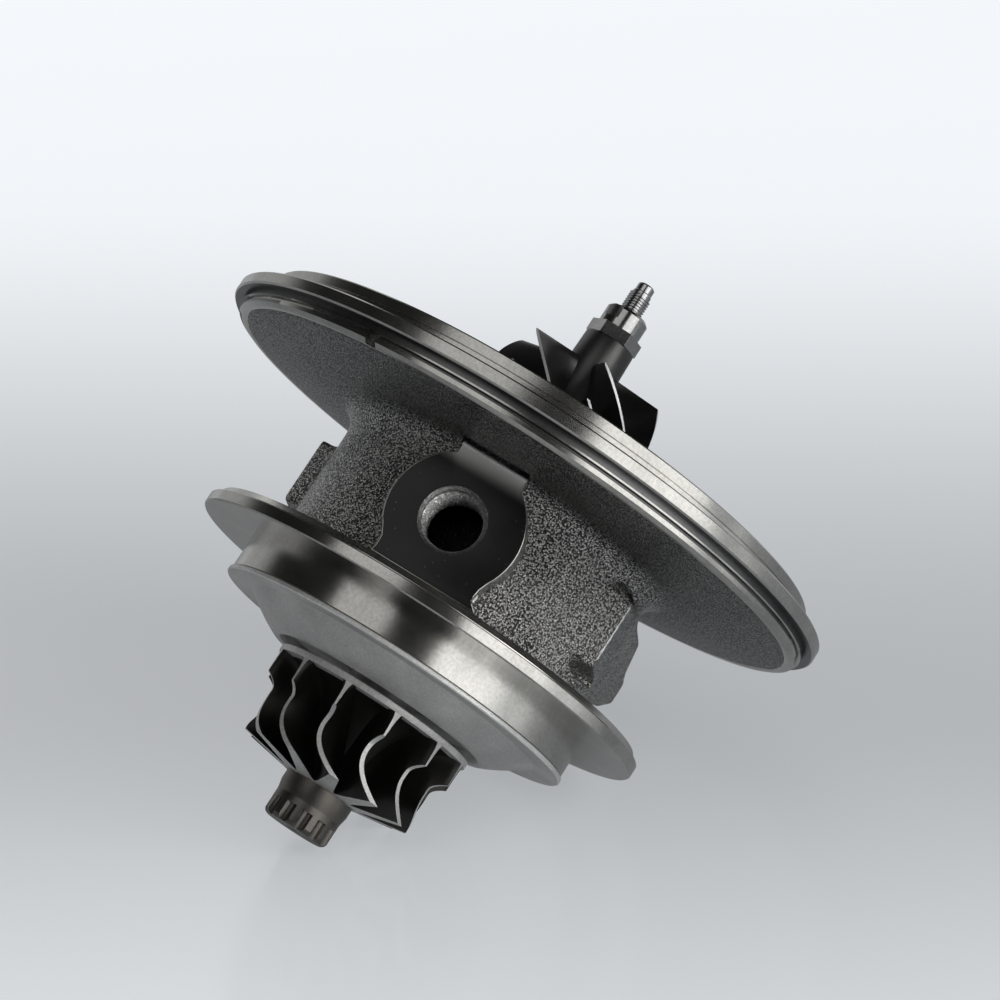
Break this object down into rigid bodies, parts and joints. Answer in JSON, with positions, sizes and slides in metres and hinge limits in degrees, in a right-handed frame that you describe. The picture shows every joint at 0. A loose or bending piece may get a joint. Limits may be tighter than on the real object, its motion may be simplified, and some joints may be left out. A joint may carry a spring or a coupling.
{
  "type": "turbo cartridge",
  "caption": "Turbo cartridge: a flanged bearing housing with a turbine wheel and a compressor wheel on one shaft in floating bearings.",
  "frame": {"origin": "on the shaft axis, in the plane of the lip that the compressor cover seats on", "axes": "+X along the shaft towards the compressor, +Z out of the oil inlet, -Z out of the oil drain"},
  "size_m": [0.134, 0.14, 0.14],
  "materials": {
    "housing": "dark as-cast skin with turned, bright flange rims and a machined boss face",
    "shield": "pressed sheet with a satin skin",
    "seal_rings": "ground",
    "floating_bearings": "fine turned bronze",
    "clips": "blackened spring steel",
    "thrust_bearing": "ground bronze",
    "screws": "plain steel",
    "baffle": "pressed sheet",
    "seal_plate": "turned",
    "o_ring": "matt black",
    "turbine_wheel": "dark cast alloy, ground at the blade edges",
    "shaft": "ground steel",
    "compressor_wheel": "cast alloy, polished at the blade edges",
    "nut": "turned steel, ground on one side for balance"
  },
  "bodies": {
    "core": {"bearing_housing": "housing", "heat_shield": "shield", "turbine_seal_ring": "seal_rings", "turbine_bearing_outer_clip": "clips", "turbine_bearing_inner_clip": "clips", "compressor_bearing_inner_clip": "clips", "compressor_bearing_outer_clip": "clips", "thrust_bearing": "thrust_bearing", "thrust_bearing_screws": "screws", "oil_baffle": "baffle", "seal_plate": "seal_plate", "seal_plate_o_ring": "o_ring", "seal_plate_circlip": "clips", "compressor_seal_ring": "seal_rings"},
    "rotor": {"turbine_wheel": "turbine_wheel", "shaft": "shaft", "thrust_collar": "shaft", "oil_flinger": "shaft", "compressor_wheel": "compressor_wheel", "shaft_nut": "nut"},
    "turbine_bush": {"turbine_bearing": "floating_bearings"},
    "compressor_bush": {"compressor_bearing": "floating_bearings"}
  },
  "joints": [
    {"name": "rotor_spin", "type": "hinge", "parent": "core", "child": "rotor", "pos_m": [0, 0, 0], "axis": [1, 0, 0], "continuous": true},
    {"name": "turbine_bush_spin", "type": "hinge", "parent": "core", "child": "turbine_bush", "pos_m": [-0.03975, 0, 0], "axis": [1, 0, 0], "continuous": true},
    {"name": "compressor_bush_spin", "type": "hinge", "parent": "core", "child": "compressor_bush", "pos_m": [-0.0232, 0, 0], "axis": [1, 0, 0], "continuous": true}
  ]
}
